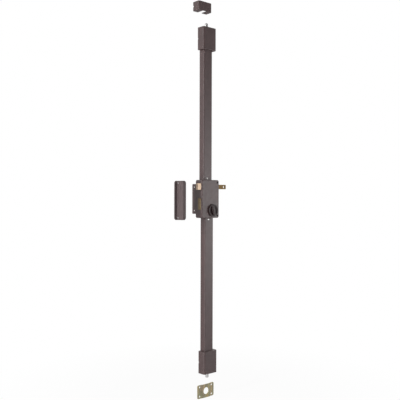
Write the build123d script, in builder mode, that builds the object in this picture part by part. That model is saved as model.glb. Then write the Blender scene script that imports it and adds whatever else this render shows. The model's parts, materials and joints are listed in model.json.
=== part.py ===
from build123d import *
import os
from math import acos, cos, pi, radians, sin, tan

os.makedirs("parts", exist_ok=True)

# Sizes are in millimetres. The door's face is the plane Y = 0 and the lock stands on its -Y side.
# A depth is the distance from the door's face towards the room. The bolts leave the case on the
# -X side, +Z is up, and the origin is the middle of the case on the door's face.

# Clearances
moving_gap = 0.3
running_gap = 0.05
slot_gap = 0.15
seat_gap = 0.02
cut_over = 1.0

# Case
case_width = 84.0
case_height = 140.0
case_depth = 35.0
case_wall = 2.0
case_corner = 7.0
case_edge = 3.0
base_thickness = 2.0

# Forend, the flange of the base plate that wraps the edge of the door
forend_reach = 20.0
forend_height = 110.0
forend_thickness = 2.0
forend_corner = 4.0
forend_hole_radius = 2.6
forend_hole_spacing = 87.0
forend_hole_setback = 9.6

# Screw holes of the base plate
door_hole_radius = 2.75
door_hole_inset_left = 11.0
door_hole_inset_right = 19.0
door_hole_inset_z = 10.0

# Cover screws and their posts
post_inset_x = 9.0
post_radius = 4.0
cover_screw_radius = 2.0
cover_screw_head_radius = 3.9
cover_screw_length = 14.0
countersink_angle = 90.0

# Rods
upper_axis_x = -5.0
lower_axis_x = 2.0
rod_depth = 14.5
rod_radius = 5.0
rod_stub_radius = 4.0
rod_stub_length = 14.0
tip_radius = 6.25
tip_reach = 16.5
tip_chamfer = 1.5
bolt_travel = 20.0

# Flat links between the carriage's cam slots and the rods
link_depth = 7.0
link_thickness = 3.0
link_width = 12.0
link_end_margin = 6.5
upper_pin_z = 0.0
lower_pin_z = -14.0
upper_rod_start = 42.0
lower_rod_start = -58.0
lap_length = 20.0
lap_pin_radius = 2.0
lap_pin_spacing = 10.0
lap_pin_length = 11.0
cam_pin_radius = 3.0
cam_stub_radius = 2.0

# Bolt carriage
carriage_thickness = 3.0
carriage_side_gap = 1.0
carriage_top = 36.5
carriage_step_z = -43.0
carriage_foot_right = 14.0
carriage_bottom = -56.0
carriage_corner = 3.0
carriage_window_radius = 8.0
carriage_window_inset = 12.0
carriage_window_z = -5.0
upper_stud_x = 10.0
upper_stud_z = 29.5
lower_stud_inset = 5.5
lower_stud_z = -50.0
stud_radius = 3.0
stud_shoulder_radius = 4.2
stud_head_thickness = 2.0

# Night bolt
deadbolt_z = -18.5
deadbolt_height = 41.5
deadbolt_thickness = 16.7
deadbolt_length = 38.0
deadbolt_proud = 3.0
deadbolt_edge = 3.5
rivet_radius = 2.5
rivet_inset = 6.0
rivet_spacing = 18.0
rivet_grip = 4.0

# Knob drive
knob_inset_x = 32.5
knob_z = -42.0
knob_radius = 23.0
knob_rim = 3.5
knob_disc_thickness = 6.0
knob_grip_height = 10.5
knob_grip_base = 11.0
knob_grip_top = 5.0
knob_dish = 4.0
knob_lean = 13.0
tooth_module = 1.25
pinion_teeth = 10
pressure_angle = 25.0
pinion_addendum = 1.2
rack_addendum = 1.05
tooth_bottom_gap = 0.3
tooth_backlash = 0.2
rack_teeth = 9
rack_height = 7.0
rack_thickness = 7.0
rack_rivet_radius = 2.0
rack_rivet_spacing = 28.0
spindle_radius = 3.0
spindle_square = 4.0
spindle_socket_depth = 6.0
bush_radius = 6.0
bush_flange_radius = 9.0
bush_flange_thickness = 3.0
bush_length = 13.0
pinion_pin_radius = 1.0

# Latch
latch_z = 45.0
latch_height = 23.0
latch_thickness = 15.0
latch_depth = 16.0
latch_length = 30.0
latch_proud = 18.0
latch_bevel_depth = 5.5
latch_bevel_run = 8.0
latch_edge = 0.8
pull_depth = 22.0
pull_thickness = 4.0
pull_height = 16.5
pull_proud = 43.0
pull_corner = 2.5
pull_hole_radius = 4.25
pull_hole_inset = 10.0
neck_size = 3.5
neck_grip = 5.0
latch_pin_radius = 1.0
latch_pin_length = 14.0
bracket_x = 5.0
bracket_thickness = 2.5
bracket_height = 20.0
bracket_rise = 28.0
bracket_foot = 9.0
bracket_low_z = 38.0
pull_start_gap = 1.5
spring_wire_radius = 0.45
spring_wire_sides = 6
spring_mean_radius = 3.1
spring_turns = 8

# Profiles over the rods
profile_width = 41.0
profile_offset = 0.6
profile_depth = 24.0
profile_wall = 1.5
profile_edge = 3.0
profile_insert = 12.0
saddle_length = 10.0
saddle_wall = 3.0
saddle_foot = 2.5
saddle_bar = 2.1
saddle_hole_radius = 2.2
saddle_hole_spacing = 18.0
profile_screw_radius = 2.0
profile_screw_head_radius = 3.6
profile_screw_head = 2.4
profile_screw_offset = 4.0

# Guide boxes at the ends of the rods
upper_guide_start = 548.0
lower_guide_start = -560.5
guide_width = 64.0
guide_offset = 3.0
guide_depth = 32.0
guide_height = 83.0
guide_wall = 2.0
guide_corner = 7.0
guide_edge = 1.5
notch_radius = 3.0
guide_plate = 3.0
lug_radius = 10.5
lug_length = 14.0
guide_hole_radius = 2.6
guide_hole_spacing_x = 38.0
guide_hole_spacing_z = 38.0
nib_height = 3.4
nib_thickness = 2.0

# Side keeper
keeper_web_x = -133.0
keeper_z = -5.5
keeper_height = 140.0
keeper_depth = 35.0
keeper_width = 14.5
keeper_lip = 11.0
keeper_lip_corner = 8.0
keeper_thickness = 2.5
keeper_edge = 4.0
keeper_corner = 10.0
keeper_hole_radius = 2.75
keeper_hole_spacing = 124.0
keeper_hole_depth = 6.5

# Top keeper
top_keeper_x = -25.0
top_keeper_bottom = 686.0
top_keeper_height = 33.5
top_keeper_wall = 2.5
top_keeper_slot = 20.0
top_keeper_hole_radius = 2.6
top_keeper_hole_inset_x = 17.0
top_keeper_hole_inset_z = 9.0

# Floor strike
strike_x = -2.8
strike_z = -708.7
strike_depth = 13.0
strike_width = 79.5
strike_height = 49.4
strike_thickness = 2.0
strike_raise = 2.5
strike_crown = 32.0
strike_slope = 8.0
strike_corner = 5.0
strike_bore_radius = 12.5
strike_hole_radius = 3.25
strike_hole_spacing_x = 58.0
strike_hole_spacing_z = 34.0

# Places that follow from the sizes above
case_left = -case_width / 2
case_right = case_width / 2
case_top = case_height / 2
inner_depth = case_depth - case_wall
door_hole_left = case_left + door_hole_inset_left
door_hole_right = case_right - door_hole_inset_right
door_hole_spacing_z = case_height - 2 * door_hole_inset_z
post_x = case_right - post_inset_x
post_spacing_z = latch_z + pull_height / 2 + case_top - case_wall
carriage_left = case_left + case_wall + carriage_side_gap + bolt_travel
carriage_right = case_right - case_wall - carriage_side_gap
carriage_window_x = carriage_right - carriage_window_inset
lower_stud_x = carriage_left + lower_stud_inset
knob_x = case_right - knob_inset_x
link_front = link_depth + link_thickness
carriage_back = link_front + moving_gap
carriage_front = carriage_back + carriage_thickness
deadbolt_front = carriage_front + deadbolt_thickness
pitch_radius = tooth_module * pinion_teeth / 2
tooth_pitch = tooth_module * pi
rack_pitch_z = knob_z + pitch_radius
latch_front = latch_depth + latch_thickness
latch_back_x = case_left - latch_proud + latch_length
neck_depth = pull_depth + pull_thickness / 2
pull_start_x = bracket_x + bracket_thickness + pull_start_gap
pull_end_x = case_right + pull_proud
profile_inner = profile_width - 2 * profile_wall
profile_screw_z = case_top + moving_gap + saddle_length / 2


def front(depth):
    """Plane parallel to the door's face at a depth, facing the room."""
    return Plane.XZ.offset(depth)


# Case on the door

with BuildPart() as base_plate:
    base_width = case_width - 2 * case_wall - 2 * moving_gap
    base_height = case_height - 2 * case_wall - 2 * moving_gap
    tongue_width = case_width / 2
    with BuildSketch(front(0)):
        RectangleRounded(base_width, base_height, case_corner - case_wall)
        with Locations((case_left + tongue_width / 2, 0)):
            Rectangle(tongue_width, forend_height)
        with Locations(((door_hole_left + door_hole_right) / 2, 0)):
            with GridLocations(door_hole_right - door_hole_left, door_hole_spacing_z, 2, 2):
                Circle(door_hole_radius, mode=Mode.SUBTRACT)
    extrude(amount=base_thickness)
    with BuildSketch(Plane.YZ.offset(case_left)) as flange:
        with Locations(((forend_reach - base_thickness) / 2, 0)):
            Rectangle(forend_reach + base_thickness, forend_height)
        fillet(flange.vertices().group_by(Axis.X)[-1], radius=forend_corner)
        with Locations((forend_hole_setback, 0)):
            with GridLocations(0, forend_hole_spacing, 1, 2):
                Circle(forend_hole_radius, mode=Mode.SUBTRACT)
    extrude(amount=forend_thickness)
    bend_edge = base_plate.edges().filter_by(Axis.Z).sort_by(Axis.X)[:4].sort_by(Axis.Y)[0]
    fillet(bend_edge, radius=0.8 * base_thickness)

with BuildPart() as case_cover:
    with BuildSketch(front(0)):
        RectangleRounded(case_width, case_height, case_corner)
    extrude(amount=case_depth)
    fillet(case_cover.faces().sort_by(Axis.Y)[0].edges(), radius=case_edge)
    with BuildSketch(front(0)):
        RectangleRounded(
            case_width - 2 * case_wall, case_height - 2 * case_wall, case_corner - case_wall
        )
    extrude(amount=inner_depth, mode=Mode.SUBTRACT)
    with BuildSketch(Plane.YZ.offset(case_left - cut_over)):
        with Locations((-(latch_depth + latch_front) / 2, latch_z)):
            Rectangle(latch_thickness + 2 * moving_gap, latch_height + 2 * moving_gap)
        with Locations((-(carriage_front + deadbolt_front) / 2, deadbolt_z)):
            Rectangle(deadbolt_thickness + 2 * moving_gap, deadbolt_height + 2 * moving_gap)
        with Locations((-(base_thickness + moving_gap) / 2, 0)):
            Rectangle(base_thickness + moving_gap, forend_height + 2 * moving_gap)
    extrude(amount=case_wall + 2 * cut_over, mode=Mode.SUBTRACT)
    with BuildSketch(Plane.YZ.offset(case_right - case_wall - cut_over)):
        with Locations((-neck_depth, latch_z)):
            Rectangle(pull_thickness + 2 * moving_gap, pull_height + 2 * moving_gap)
    extrude(amount=case_wall + 2 * cut_over, mode=Mode.SUBTRACT)
    rod_window_back = link_depth - 2 * moving_gap
    rod_window_front = rod_depth + rod_radius + 2 * moving_gap
    for axis_x, wall_z in ((upper_axis_x, case_top - case_wall), (lower_axis_x, -case_top)):
        with BuildSketch(Plane.XY.offset(wall_z - cut_over)):
            with Locations((axis_x, -(rod_window_back + rod_window_front) / 2)):
                Rectangle(link_width + 4 * moving_gap, rod_window_front - rod_window_back)
        extrude(amount=case_wall + 2 * cut_over, mode=Mode.SUBTRACT)
    with BuildSketch(front(inner_depth - cut_over)):
        with Locations((knob_x, knob_z)):
            Circle(bush_radius + seat_gap)
    extrude(amount=case_wall + 2 * cut_over, mode=Mode.SUBTRACT)
    with Locations(front(case_depth)):
        with Locations((post_x, post_spacing_z / 2), (post_x, -post_spacing_z / 2)):
            CounterSinkHole(
                cover_screw_radius + seat_gap,
                cover_screw_head_radius + seat_gap,
                case_wall + cut_over,
                countersink_angle,
            )

with BuildPart() as cover_posts:
    with BuildSketch(front(base_thickness)):
        with Locations((post_x, 0)):
            with GridLocations(0, post_spacing_z, 1, 2):
                Circle(post_radius)
    extrude(amount=inner_depth - base_thickness)
    with BuildSketch(front(case_depth - cover_screw_length - cut_over)):
        with Locations((post_x, 0)):
            with GridLocations(0, post_spacing_z, 1, 2):
                Circle(cover_screw_radius + seat_gap)
    extrude(amount=cover_screw_length, mode=Mode.SUBTRACT)

with BuildPart() as cover_screws:
    head_height = (cover_screw_head_radius - cover_screw_radius) / tan(radians(countersink_angle / 2))
    with BuildSketch(front(case_depth - cover_screw_length)):
        with Locations((post_x, 0)):
            with GridLocations(0, post_spacing_z, 1, 2):
                Circle(cover_screw_radius)
    extrude(amount=cover_screw_length)
    with Locations(front(case_depth - head_height / 2)):
        with Locations((post_x, post_spacing_z / 2), (post_x, -post_spacing_z / 2)):
            Cone(cover_screw_radius, cover_screw_head_radius, head_height)

with BuildPart() as guide_studs:
    studs = ((upper_stud_x, upper_stud_z), (lower_stud_x, lower_stud_z))
    with BuildSketch(front(base_thickness)):
        with Locations(*studs):
            Circle(stud_shoulder_radius)
    extrude(amount=link_front - base_thickness)
    with BuildSketch(front(link_front)):
        with Locations(*studs):
            Circle(stud_radius)
    extrude(amount=carriage_thickness + 2 * moving_gap)
    with BuildSketch(front(carriage_front + moving_gap)):
        with Locations(*studs):
            Circle(stud_shoulder_radius)
    extrude(amount=stud_head_thickness)

with BuildPart() as spring_bracket:
    bracket_middle_z = bracket_low_z + bracket_height / 2
    with BuildSketch(front(base_thickness)):
        with Locations((bracket_x + bracket_thickness / 2, bracket_middle_z)):
            Rectangle(bracket_thickness, bracket_height)
    extrude(amount=bracket_rise)
    with BuildSketch(front(base_thickness)):
        with Locations((bracket_x + (bracket_thickness + bracket_foot) / 2, bracket_middle_z)):
            Rectangle(bracket_thickness + bracket_foot, bracket_height)
    extrude(amount=bracket_thickness)
    with BuildSketch(Plane.YZ.offset(bracket_x - cut_over)):
        with Locations((-neck_depth, latch_z)):
            Rectangle(neck_size + 2 * moving_gap, neck_size + 2 * moving_gap)
    extrude(amount=bracket_thickness + 2 * cut_over, mode=Mode.SUBTRACT)

with BuildPart() as spindle_bush:
    with BuildSketch(front(case_depth - bush_length)):
        with Locations((knob_x, knob_z)):
            Circle(bush_radius)
    extrude(amount=bush_length)
    with BuildSketch(front(inner_depth - bush_flange_thickness)):
        with Locations((knob_x, knob_z)):
            Circle(bush_flange_radius)
    extrude(amount=bush_flange_thickness)
    with BuildSketch(front(case_depth - bush_length)):
        with Locations((knob_x, knob_z)):
            Circle(spindle_radius + running_gap)
    extrude(amount=bush_length, mode=Mode.SUBTRACT)

# Night bolt: brass bolt, carriage with cam slots, rack

deadbolt_left = case_left - deadbolt_proud
deadbolt_right = deadbolt_left + deadbolt_length
rivet_x = deadbolt_right - rivet_inset
rack_left = knob_x - 1.5 * tooth_pitch
rack_right = rack_left + rack_teeth * tooth_pitch
rack_rivet_z = rack_pitch_z + rack_height / 2 + tooth_module / 2

with BuildPart() as deadbolt:
    with BuildSketch(front(carriage_front)):
        with Locations(((deadbolt_left + deadbolt_right) / 2, deadbolt_z)):
            Rectangle(deadbolt_length, deadbolt_height)
    extrude(amount=deadbolt_thickness)
    nose_edges = deadbolt.edges().filter_by(Axis.Z).group_by(Axis.X)[0]
    fillet(nose_edges, radius=deadbolt_edge)
    with BuildSketch(front(carriage_front)):
        with Locations((rivet_x, deadbolt_z)):
            with GridLocations(0, rivet_spacing, 1, 2):
                Circle(rivet_radius + seat_gap)
    extrude(amount=rivet_grip + seat_gap, mode=Mode.SUBTRACT)

with BuildPart() as bolt_carriage:
    with BuildSketch(front(carriage_back)) as carriage_sketch:
        with BuildLine():
            Polyline(
                (carriage_left, carriage_top),
                (carriage_right, carriage_top),
                (carriage_right, carriage_step_z),
                (carriage_foot_right, carriage_step_z),
                (carriage_foot_right, carriage_bottom),
                (carriage_left, carriage_bottom),
                close=True,
            )
        make_face()
        fillet(carriage_sketch.vertices(), radius=carriage_corner)
        cam_width = 2 * (cam_pin_radius + slot_gap)
        for pin_x, pin_z, side in ((upper_axis_x, upper_pin_z, 1), (lower_axis_x, lower_pin_z, -1)):
            with Locations((pin_x + bolt_travel / 2, pin_z + side * bolt_travel / 2)):
                SlotCenterToCenter(
                    bolt_travel / cos(radians(45)), cam_width, rotation=side * 45, mode=Mode.SUBTRACT
                )
        for stud_x, stud_z in studs:
            with Locations((stud_x + bolt_travel / 2, stud_z)):
                SlotCenterToCenter(
                    bolt_travel + 2 * slot_gap, 2 * (stud_radius + slot_gap), mode=Mode.SUBTRACT
                )
        with Locations((carriage_window_x, carriage_window_z)):
            Circle(carriage_window_radius, mode=Mode.SUBTRACT)
        with Locations((rivet_x, deadbolt_z)):
            with GridLocations(0, rivet_spacing, 1, 2):
                Circle(rivet_radius + seat_gap, mode=Mode.SUBTRACT)
        with Locations(((rack_left + rack_right) / 2, rack_rivet_z)):
            with GridLocations(rack_rivet_spacing, 0, 2, 1):
                Circle(rack_rivet_radius + seat_gap, mode=Mode.SUBTRACT)
    extrude(amount=carriage_thickness)

with BuildPart() as bolt_rivets:
    with BuildSketch(front(carriage_back)):
        with Locations((rivet_x, deadbolt_z)):
            with GridLocations(0, rivet_spacing, 1, 2):
                Circle(rivet_radius)
    extrude(amount=carriage_thickness + rivet_grip)

with BuildPart() as bolt_rack:
    half_tooth = (tooth_pitch / 2 - tooth_backlash / 2) / 2
    slope = tan(radians(pressure_angle))
    tip_z = rack_pitch_z - rack_addendum
    root_z = rack_pitch_z + pinion_addendum + tooth_bottom_gap
    with BuildSketch(front(carriage_front)):
        with Locations(((rack_left + rack_right) / 2, (root_z + rack_pitch_z + rack_height) / 2)):
            Rectangle(rack_right - rack_left, rack_pitch_z + rack_height - root_z)
        for tooth in range(rack_teeth):
            tooth_x = knob_x + (tooth - 1) * tooth_pitch
            with BuildLine():
                Polyline(
                    (tooth_x - half_tooth - slope * (root_z - rack_pitch_z), root_z),
                    (tooth_x - half_tooth + slope * rack_addendum, tip_z),
                    (tooth_x + half_tooth - slope * rack_addendum, tip_z),
                    (tooth_x + half_tooth + slope * (root_z - rack_pitch_z), root_z),
                    close=True,
                )
            make_face()
        with Locations(((rack_left + rack_right) / 2, rack_rivet_z)):
            with GridLocations(rack_rivet_spacing, 0, 2, 1):
                Circle(rack_rivet_radius + seat_gap, mode=Mode.SUBTRACT)
    extrude(amount=rack_thickness)

with BuildPart() as rack_rivets:
    with BuildSketch(front(carriage_back)):
        with Locations(((rack_left + rack_right) / 2, rack_rivet_z)):
            with GridLocations(rack_rivet_spacing, 0, 2, 1):
                Circle(rack_rivet_radius)
    extrude(amount=carriage_thickness + rack_thickness)

# Knob, spindle and pinion

pinion_depth = carriage_front + 2 * moving_gap
pinion_thickness = case_depth - bush_length - moving_gap - pinion_depth
spindle_back = pinion_depth
spindle_front = case_depth
knob_back = case_depth + moving_gap
base_circle = pitch_radius * cos(radians(pressure_angle))
pinion_tip_radius = pitch_radius + pinion_addendum
pinion_root_radius = pitch_radius - rack_addendum - tooth_bottom_gap


def involute(angle):
    """How far the involute has turned where its pressure angle is this one, in radians."""
    return tan(angle) - angle


def tooth_flank():
    """Points of one pinion tooth's flank as (radius, half angle), from root to tip."""
    half_at_pitch = (tooth_pitch / 2 - tooth_backlash / 2) / (2 * pitch_radius)
    half_at_base = half_at_pitch + involute(radians(pressure_angle))
    steps = 4
    flank = [(pinion_root_radius, half_at_base)]
    for step in range(steps + 1):
        radius = base_circle + (pinion_tip_radius - base_circle) * step / steps
        turned = involute(acos(base_circle / radius))
        flank.append((radius, half_at_base - turned))
    return flank


with BuildPart() as drive_pinion:
    with BuildSketch(front(pinion_depth)):
        with Locations((knob_x, knob_z)):
            Circle(pinion_root_radius)
        for tooth in range(pinion_teeth):
            middle = pi / 2 + (tooth + 0.5) * 2 * pi / pinion_teeth
            rising = [(r, middle - half) for r, half in tooth_flank()]
            falling = [(r, middle + half) for r, half in reversed(tooth_flank())]
            around = [(0, middle)] + rising + falling
            outline = [(knob_x + r * cos(turn), knob_z + r * sin(turn)) for r, turn in around]
            with BuildLine():
                Polyline(*outline, close=True)
            make_face()
        with Locations((knob_x, knob_z)):
            Circle(spindle_radius + seat_gap, mode=Mode.SUBTRACT)
    extrude(amount=pinion_thickness)
    with BuildSketch(Plane.XY.offset(knob_z)):
        with Locations((knob_x, -(pinion_depth + pinion_thickness / 2))):
            Circle(pinion_pin_radius + seat_gap)
    extrude(amount=pinion_tip_radius, both=True, mode=Mode.SUBTRACT)

with BuildPart() as pinion_pin:
    with BuildSketch(Plane.XY.offset(knob_z)):
        with Locations((knob_x, -(pinion_depth + pinion_thickness / 2))):
            Circle(pinion_pin_radius)
    extrude(amount=pinion_root_radius - seat_gap, both=True)

with BuildPart() as spindle:
    with BuildSketch(front(spindle_back)):
        with Locations((knob_x, knob_z)):
            Circle(spindle_radius)
    extrude(amount=spindle_front - spindle_back)
    with BuildSketch(front(spindle_front)):
        with Locations((knob_x, knob_z)):
            Rectangle(spindle_square, spindle_square)
    extrude(amount=moving_gap + spindle_socket_depth)
    with BuildSketch(Plane.XY.offset(knob_z)):
        with Locations((knob_x, -(pinion_depth + pinion_thickness / 2))):
            Circle(pinion_pin_radius + seat_gap)
    extrude(amount=pinion_tip_radius, both=True, mode=Mode.SUBTRACT)

with BuildPart() as knob:
    knob_face = knob_back + knob_disc_thickness
    with BuildSketch(front(knob_back)):
        with Locations((knob_x, knob_z)):
            Circle(knob_radius)
    extrude(amount=knob_disc_thickness)
    fillet(knob.faces().sort_by(Axis.Y)[0].edges(), radius=knob_rim / 3)
    dish_reach = knob_radius - knob_rim
    dish_curve = (dish_reach**2 + knob_dish**2) / (2 * knob_dish)
    with Locations((knob_x, -(knob_face + dish_curve - knob_dish), knob_z)):
        Sphere(dish_curve, mode=Mode.SUBTRACT)
    grip_plane = front(knob_face - knob_dish)
    grip_top_plane = front(knob_back + knob_grip_height)
    grip_length = 2 * (knob_radius - knob_rim / 2)
    with BuildSketch(grip_plane):
        with Locations(Location((knob_x, knob_z), 90 + knob_lean)):
            SlotOverall(grip_length, knob_grip_base)
    with BuildSketch(grip_top_plane):
        with Locations(Location((knob_x, knob_z), 90 + knob_lean)):
            SlotOverall(grip_length - (knob_grip_base - knob_grip_top), knob_grip_top)
    loft()
    grip_rim = knob.faces().sort_by(Axis.Y)[0].edges()
    fillet(grip_rim, radius=knob_grip_top / 8)
    with BuildSketch(front(knob_back)):
        with Locations((knob_x, knob_z)):
            Rectangle(spindle_square + 2 * seat_gap, spindle_square + 2 * seat_gap)
    extrude(amount=spindle_socket_depth + seat_gap, mode=Mode.SUBTRACT)

# Latch with its pull bar and spring

with BuildPart() as latch_bolt:
    latch_tip_x = case_left - latch_proud
    bevel_end_x = latch_tip_x + latch_bevel_run
    latch_low_z = latch_z - latch_height / 2
    with BuildSketch(Plane.XY.offset(latch_low_z)) as latch_section:
        with BuildLine():
            Polyline(
                (latch_tip_x, -latch_front),
                (latch_back_x, -latch_front),
                (latch_back_x, -latch_depth),
                (bevel_end_x, -latch_depth),
                (latch_tip_x, -(latch_depth + latch_bevel_depth)),
                close=True,
            )
        make_face()
        fillet(latch_section.vertices().sort_by(Axis.X)[:2], radius=latch_edge)
    extrude(amount=latch_height)
    with BuildSketch(Plane.YZ.offset(latch_back_x - neck_grip)):
        with Locations((-neck_depth, latch_z)):
            Rectangle(neck_size + 2 * seat_gap, neck_size + 2 * seat_gap)
    extrude(amount=neck_grip + cut_over, mode=Mode.SUBTRACT)
    latch_pin_x = latch_back_x - neck_grip / 2
    with BuildSketch(Plane.XY.offset(latch_z)):
        with Locations((latch_pin_x, -neck_depth)):
            Circle(latch_pin_radius + seat_gap)
    extrude(amount=latch_pin_length / 2, both=True, mode=Mode.SUBTRACT)

with BuildPart() as pull_bar:
    with BuildSketch(front(pull_depth)) as tab_sketch:
        with Locations(((pull_start_x + pull_end_x) / 2, latch_z)):
            Rectangle(pull_end_x - pull_start_x, pull_height)
        fillet(tab_sketch.vertices(), radius=pull_corner)
        with Locations((pull_end_x - pull_hole_inset, latch_z)):
            Circle(pull_hole_radius, mode=Mode.SUBTRACT)
    extrude(amount=pull_thickness)
    neck_start_x = latch_back_x - neck_grip + seat_gap
    with BuildSketch(front(neck_depth - neck_size / 2)):
        with Locations(((neck_start_x + pull_start_x) / 2, latch_z)):
            Rectangle(pull_start_x - neck_start_x, neck_size)
    extrude(amount=neck_size)
    with BuildSketch(Plane.XY.offset(latch_z)):
        with Locations((latch_pin_x, -neck_depth)):
            Circle(latch_pin_radius + seat_gap)
    extrude(amount=latch_pin_length / 2, both=True, mode=Mode.SUBTRACT)

with BuildPart() as latch_pin:
    with BuildSketch(Plane.XY.offset(latch_z)):
        with Locations((latch_pin_x, -neck_depth)):
            Circle(latch_pin_radius)
    extrude(amount=latch_pin_length / 2 - seat_gap, both=True)

with BuildPart() as latch_spring:
    spring_start_x = latch_back_x + spring_wire_radius + seat_gap
    spring_length = bracket_x - latch_back_x - 2 * (spring_wire_radius + seat_gap)
    spring_plane = Plane(
        origin=(spring_start_x, -neck_depth, latch_z), x_dir=(0, 1, 0), z_dir=(1, 0, 0)
    )
    coil = Helix(spring_length / spring_turns, spring_length, spring_mean_radius, mode=Mode.PRIVATE)
    coil_path = spring_plane.from_local_coords(coil)
    with BuildSketch(Plane(origin=coil_path @ 0, z_dir=coil_path % 0)):
        RegularPolygon(spring_wire_radius, spring_wire_sides)
    sweep(path=coil_path, is_frenet=True)

# Rods, their links and end tips


def cam_link(axis_x, pin_z, lap_end_z, side):
    """Flat link in the case: cam pin at one end, lap with the rod at the other."""
    link_start = pin_z - side * link_end_margin
    with BuildPart() as link:
        with BuildSketch(front(link_depth)) as link_sketch:
            with Locations((axis_x, (link_start + lap_end_z) / 2)):
                Rectangle(link_width, abs(lap_end_z - link_start))
            fillet(link_sketch.vertices(), radius=link_width / 8)
            with Locations((axis_x, pin_z)):
                Circle(cam_stub_radius + seat_gap, mode=Mode.SUBTRACT)
            with Locations((axis_x, lap_end_z - side * lap_length / 2)):
                with GridLocations(0, lap_pin_spacing, 1, 2):
                    Circle(lap_pin_radius + seat_gap, mode=Mode.SUBTRACT)
        extrude(amount=link_thickness)
    return link


def cam_pin(axis_x, pin_z):
    """Shouldered pin that runs in the carriage's cam slot."""
    with BuildPart() as pin:
        with BuildSketch(front(link_depth)):
            with Locations((axis_x, pin_z)):
                Circle(cam_stub_radius)
        extrude(amount=link_thickness)
        with BuildSketch(front(link_front)):
            with Locations((axis_x, pin_z)):
                Circle(cam_pin_radius)
        extrude(amount=carriage_thickness)
    return pin


def lap_pins(axis_x, lap_middle_z):
    """Two rivets through the link and the flat of the rod."""
    with BuildPart() as pins:
        with BuildSketch(front(link_depth)):
            with Locations((axis_x, lap_middle_z)):
                with GridLocations(0, lap_pin_spacing, 1, 2):
                    Circle(lap_pin_radius)
        extrude(amount=lap_pin_length)
    return pins


def round_rod(axis_x, start_z, end_z, side):
    """Round rod with a flat at the case end and a turned stub at the other."""
    with BuildPart() as rod:
        with BuildSketch(Plane.XY.offset(start_z)):
            with Locations((axis_x, -rod_depth)):
                Circle(rod_radius)
        extrude(amount=end_z - start_z)
        with BuildSketch(Plane.XY.offset(end_z)):
            with Locations((axis_x, -rod_depth)):
                Circle(rod_stub_radius)
        extrude(amount=side * rod_stub_length)
        lap_middle_z = start_z + side * lap_length / 2
        with BuildSketch(front(link_front - rod_radius)):
            with Locations((axis_x, lap_middle_z)):
                Rectangle(2 * rod_radius, lap_length + 2 * moving_gap)
        extrude(amount=rod_radius, mode=Mode.SUBTRACT)
        with BuildSketch(front(link_depth)):
            with Locations((axis_x, lap_middle_z)):
                with GridLocations(0, lap_pin_spacing, 1, 2):
                    Circle(lap_pin_radius + seat_gap)
        extrude(amount=lap_pin_length + seat_gap, mode=Mode.SUBTRACT)
    return rod


def rod_tip(axis_x, start_z, end_z, side):
    """Hardened end bolt, bored for the rod's stub and chamfered at its free end."""
    with BuildPart() as tip:
        with BuildSketch(Plane.XY.offset(start_z)):
            with Locations((axis_x, -rod_depth)):
                Circle(tip_radius)
        extrude(amount=end_z - start_z)
        free_face = tip.faces().sort_by(Axis.Z)[-1 if side > 0 else 0]
        chamfer(free_face.edges(), length=tip_chamfer)
        with BuildSketch(Plane.XY.offset(start_z)):
            with Locations((axis_x, -rod_depth)):
                Circle(rod_stub_radius + seat_gap)
        extrude(amount=side * (rod_stub_length + seat_gap), mode=Mode.SUBTRACT)
    return tip


upper_guide_end = upper_guide_start + guide_height
lower_guide_end = lower_guide_start - guide_height
upper_tip_start = upper_guide_start + cut_over
lower_tip_start = lower_guide_start - cut_over

upper_link = cam_link(upper_axis_x, upper_pin_z, upper_rod_start + lap_length, 1)
lower_link = cam_link(lower_axis_x, lower_pin_z, lower_rod_start - lap_length, -1)
upper_cam_pin = cam_pin(upper_axis_x, upper_pin_z)
lower_cam_pin = cam_pin(lower_axis_x, lower_pin_z)
upper_rod_pins = lap_pins(upper_axis_x, upper_rod_start + lap_length / 2)
lower_rod_pins = lap_pins(lower_axis_x, lower_rod_start - lap_length / 2)
upper_rod = round_rod(upper_axis_x, upper_rod_start, upper_tip_start, 1)
lower_rod = round_rod(lower_axis_x, lower_rod_start, lower_tip_start, -1)
top_rod_tip = rod_tip(upper_axis_x, upper_tip_start, upper_guide_end + tip_reach, 1)
bottom_rod_tip = rod_tip(lower_axis_x, lower_tip_start, lower_guide_end - tip_reach, -1)

# Profiles over the rods and what holds them


def rod_profile(axis_x, side, guide_start):
    """Painted channel from the case's end wall into the guide box."""
    start_z = side * (case_top + moving_gap)
    end_z = guide_start + side * profile_insert
    middle_x = axis_x + profile_offset
    with BuildPart() as profile:
        with BuildSketch(Plane.XY.offset(start_z)) as channel:
            with Locations((middle_x, -profile_depth / 2)):
                Rectangle(profile_width, profile_depth)
            fillet(channel.vertices().group_by(Axis.Y)[0], radius=profile_edge)
            with Locations((middle_x, -(profile_depth - profile_wall) / 2)):
                RectangleRounded(
                    profile_inner,
                    profile_depth - profile_wall,
                    profile_edge - profile_wall,
                    mode=Mode.SUBTRACT,
                )
            with Locations((middle_x, -profile_edge)):
                Rectangle(profile_inner, 2 * profile_edge, mode=Mode.SUBTRACT)
        extrude(amount=end_z - start_z)
        with BuildSketch(front(profile_depth - profile_wall - cut_over)):
            with Locations((axis_x - profile_screw_offset, side * profile_screw_z)):
                Circle(profile_screw_radius + seat_gap)
        extrude(amount=profile_wall + 2 * cut_over, mode=Mode.SUBTRACT)
    return profile


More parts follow.
